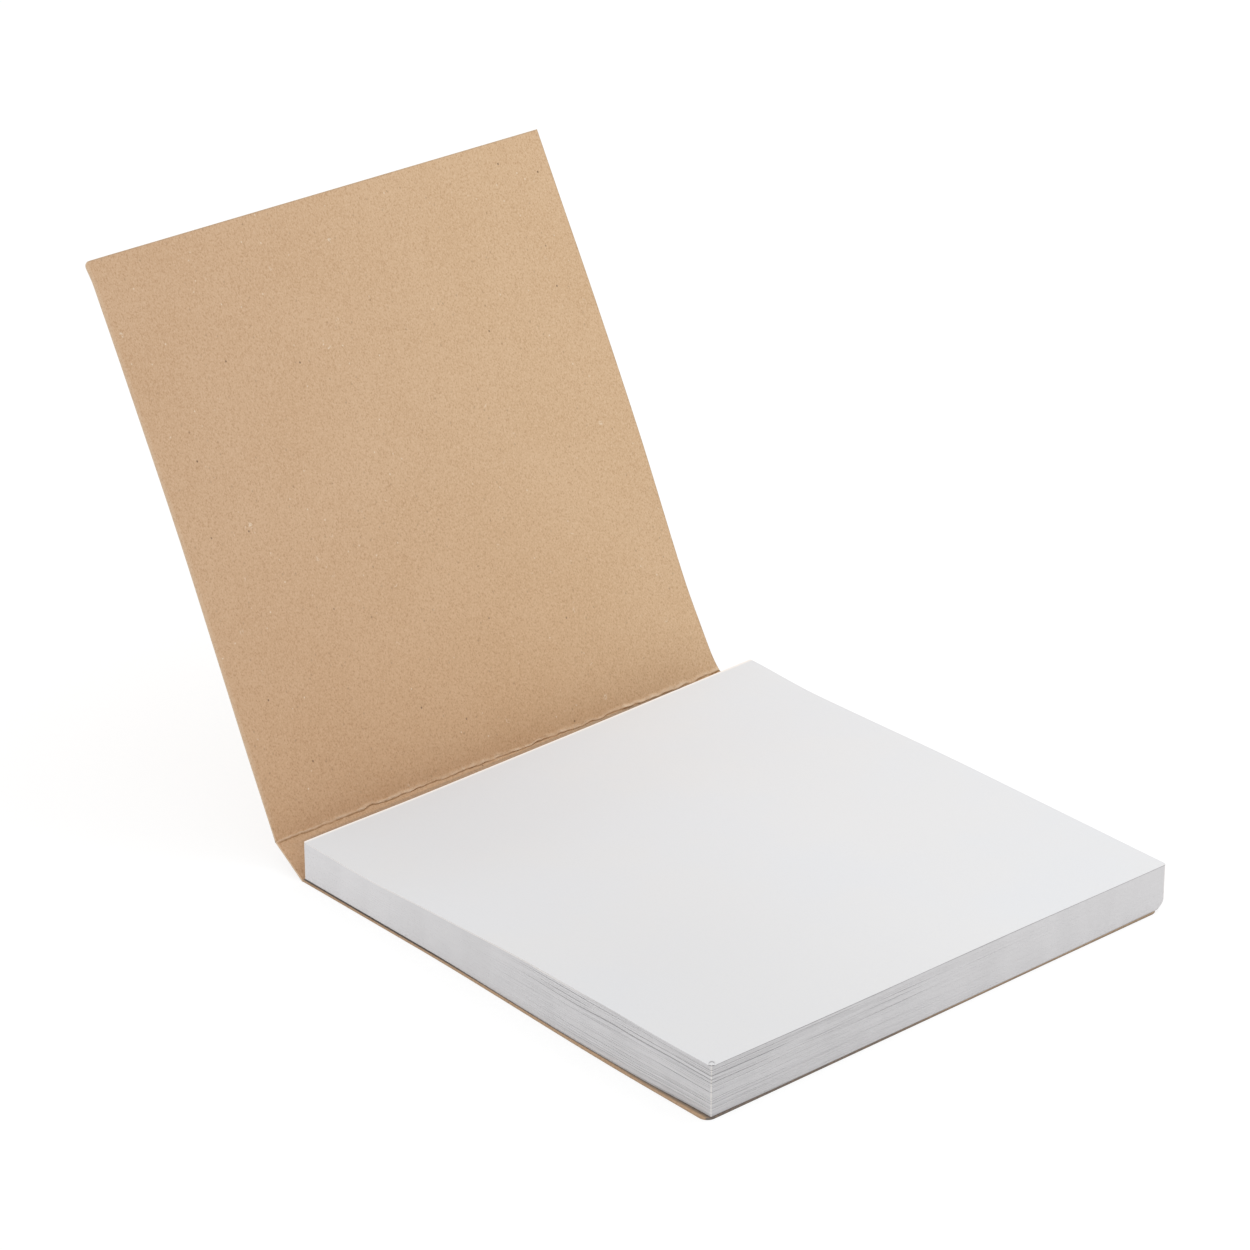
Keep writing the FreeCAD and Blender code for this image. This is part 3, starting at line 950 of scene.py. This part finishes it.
class PAD_OT_front_card(bpy.types.Operator):
    """Make the front panel of the cover"""
    bl_idname = "notepad.front_card"
    bl_label = "Front panel"

    def execute(self, context):
        sizes = context.scene.note_pad.card
        shape = CardShape(sizes)
        half = shape.half * 0.96
        reach = sizes.front_length
        crushed = [CRUSHED_STEP * step for step in range(1, 20)]
        rows = round_end(half) + crushed
        rows += stations(crushed[-1], reach, 2 * CRUSHED_STEP, SHARP_STEP, 1.5 * MM)[1:]
        columns = stations(-HALF, HALF, SHARP_STEP, SHARP_STEP, 0.27 * MM)

        def place(s, y, side):
            top, near, far = reach - s, y + HALF, HALF - y
            edge = min(top, near, far)
            if s > reach / 2 and y < 0:
                top, near = rounded(top, near, sizes.top_corner)
                s, y = reach - top, near - HALF
            share = (y + HALF) / SPAN
            skew = mix(-0.2, 0.21, share) * MM * s / reach
            shift = 0.39 * MM * eased(12 * MM, 47 * MM, s)
            shift = shape.near_inset(s) * (1 - share) + shift * share
            point, inner = shape.front_point(s + skew, y)
            point.y += shift + shape.far_swing(s, share)
            thick = shape.half_thickness(edge, s + half)

            lift, crack_shade, rubbed = shape.crease_marks(s, y)
            if side < 0:
                lift, crack_shade, rubbed = -0.5 * lift, 0.0, 0.0
            lift *= eased(0.0, 0.25 * MM, min(near, far))
            sway = 0.32 * MM * hump(4 * MM, 13 * MM, 34 * MM, s) * eased(0.75, 1.0, share)
            sway += 0.12 * MM * (1 - eased(0.0, 3 * MM, math.hypot(reach - s, y + HALF)))
            ripple = 0.05 * MM * patch(s, y, 16 * MM, 8) * eased(0.0, 12 * MM, s)
            point += inner * (side * thick + lift - sway + ripple)

            rim = 1 - eased(0.0, 0.06 * MM, edge)
            # Painted highlight: a lighter band along the near edge
            band = 0.22 * (1 - eased(0.25 * MM, 0.6 * MM, near)) * eased(1 * MM, 4 * MM, s)
            # A thin darker line along the top and far cut edges, in the painted shade colour
            painted_shade = 0.22 * (1 - eased(0.08 * MM, 0.2 * MM, min(top, far)))
            if side < 0:
                band = painted_shade = 0.0
            return point, thick, max(0.6 * rim, rubbed, band), painted_shade, crack_shade * (1 - rim)

        bm = card_panel(rows, columns, place)
        add_piece("front_card", bm, [kraft(context)], "cover", "front_cover")
        return {"FINISHED"}


# Floor, light and camera

def seen_by_camera(n):
    """1 for what the camera sees directly or in a reflection."""
    path = n.add("ShaderNodeLightPath")
    either = n.math("MAXIMUM", path.outputs["Is Camera Ray"], path.outputs["Is Glossy Ray"])
    return n.math("MAXIMUM", either, path.outputs["Is Transmission Ray"])


def floor_material():
    """A pale floor that reads white and keeps a soft shadow."""
    material = bpy.data.materials.new("pale_floor")
    n = Nodes(material)
    n.tree.nodes.remove(n.shader)
    output = n.tree.nodes["Material Output"]
    real = n.add("ShaderNodeBsdfDiffuse")
    real.inputs["Color"].default_value = (0.8, 0.8, 0.8, 1)
    veil = n.add("ShaderNodeBsdfDiffuse")
    veil.inputs["Color"].default_value = (0.25, 0.25, 0.25, 1)
    glow = n.add("ShaderNodeEmission")
    glow.inputs["Strength"].default_value = 0.8
    both = n.add("ShaderNodeAddShader")
    n.put(both.inputs[0], veil.outputs[0])
    n.put(both.inputs[1], glow.outputs[0])
    choose = n.add("ShaderNodeMixShader")
    n.put(choose.inputs[0], seen_by_camera(n))
    n.put(choose.inputs[1], real.outputs[0])
    n.put(choose.inputs[2], both.outputs[0])
    n.put(output.inputs["Surface"], choose.outputs[0])
    return material


def white_world(sky):
    """Even light of the given strength in front of a white background."""
    world = bpy.data.worlds.new("studio")
    n = Nodes(world)
    light = n.tree.nodes["Background"]
    light.inputs["Color"].default_value = (1, 1, 1, 1)
    light.inputs["Strength"].default_value = sky
    shown = n.add("ShaderNodeBackground")
    shown.inputs["Color"].default_value = (1, 1, 1, 1)
    choose = n.add("ShaderNodeMixShader")
    n.put(choose.inputs[0], seen_by_camera(n))
    n.put(choose.inputs[1], light.outputs[0])
    n.put(choose.inputs[2], shown.outputs[0])
    n.put(n.tree.nodes["World Output"].inputs["Surface"], choose.outputs[0])
    return world


def soft_lamp(name, place, target, side, power):
    """A square lamp that looks at its target."""
    light = bpy.data.lights.new(name, "AREA")
    light.shape = "SQUARE"
    light.size = side
    light.energy = power
    lamp = bpy.data.objects.new(name, light)
    lamp.location = place
    lamp.rotation_mode = "QUATERNION"
    lamp.rotation_quaternion = (Vector(target) - Vector(place)).to_track_quat("-Z", "Y")
    bpy.context.scene.collection.objects.link(lamp)


class PAD_OT_stage(bpy.types.Operator):
    """Make the floor, the lights and the camera"""
    bl_idname = "notepad.stage"
    bl_label = "Stage"

    def execute(self, context):
        scene = context.scene
        stage = scene.note_pad.stage

        bm = bmesh.new()
        bmesh.ops.create_grid(bm, x_segments=8, y_segments=8, size=stage.floor_size / 2)
        bmesh.ops.translate(bm, verts=bm.verts[:], vec=(0, 0, -0.01 * MM))
        mesh = bpy.data.meshes.new("floor")
        bm.to_mesh(mesh)
        bm.free()
        floor = bpy.data.objects.new("floor", mesh)
        mesh.materials.append(floor_material())
        scene.collection.objects.link(floor)

        scene.world = white_world(stage.sky)
        soft_lamp("above_far", place=(0.06, 0.26, 0.36), target=(0, 0, 0.02), side=0.3,
                  power=stage.lamp)
        soft_lamp("near_fill", place=(-0.1, -0.6, 0.25), target=(0, 0, 0), side=0.5,
                  power=stage.fill)

        a, e = stage.azimuth, stage.elevation
        back = Vector((math.sin(a) * math.cos(e), -math.cos(a) * math.cos(e), math.sin(e)))
        data = bpy.data.cameras.new("camera")
        data.lens = stage.lens
        data.sensor_width = 36.0
        data.clip_start, data.clip_end = 0.01, 20.0
        camera = bpy.data.objects.new("camera", data)
        camera.location = Vector(stage.aim) + back * stage.distance
        camera.rotation_mode = "QUATERNION"
        camera.rotation_quaternion = (-back).to_track_quat("-Z", "Y")
        scene.collection.objects.link(camera)
        scene.camera = camera
        scene.view_settings.view_transform = "Standard"
        return {"FINISHED"}


class PAD_PT_panel(bpy.types.Panel):
    """Lists the steps that make the note pad"""
    bl_idname = "PAD_PT_panel"
    bl_label = "Note pad"
    bl_space_type = "VIEW_3D"
    bl_region_type = "UI"
    bl_category = "Note pad"

    def draw(self, context):
        for operator in OPERATORS:
            self.layout.operator(operator.bl_idname)


SETTINGS = (SheetSizes, CardSizes, Finishes, StageSettings, PadSettings)
OPERATORS = (PAD_OT_note_sheets, PAD_OT_back_card, PAD_OT_spine_card, PAD_OT_front_card,
             PAD_OT_stage)


def register():
    for item in (*SETTINGS, *OPERATORS, PAD_PT_panel):
        bpy.utils.register_class(item)
    bpy.types.Scene.note_pad = bpy.props.PointerProperty(type=PadSettings)


def unregister():
    del bpy.types.Scene.note_pad
    for item in reversed((*SETTINGS, *OPERATORS, PAD_PT_panel)):
        bpy.utils.unregister_class(item)


def main():
    register()
    bpy.ops.notepad.note_sheets()
    bpy.ops.notepad.back_card()
    bpy.ops.notepad.spine_card()
    bpy.ops.notepad.front_card()
    bpy.ops.notepad.stage()


if __name__ == "__main__":
    main()
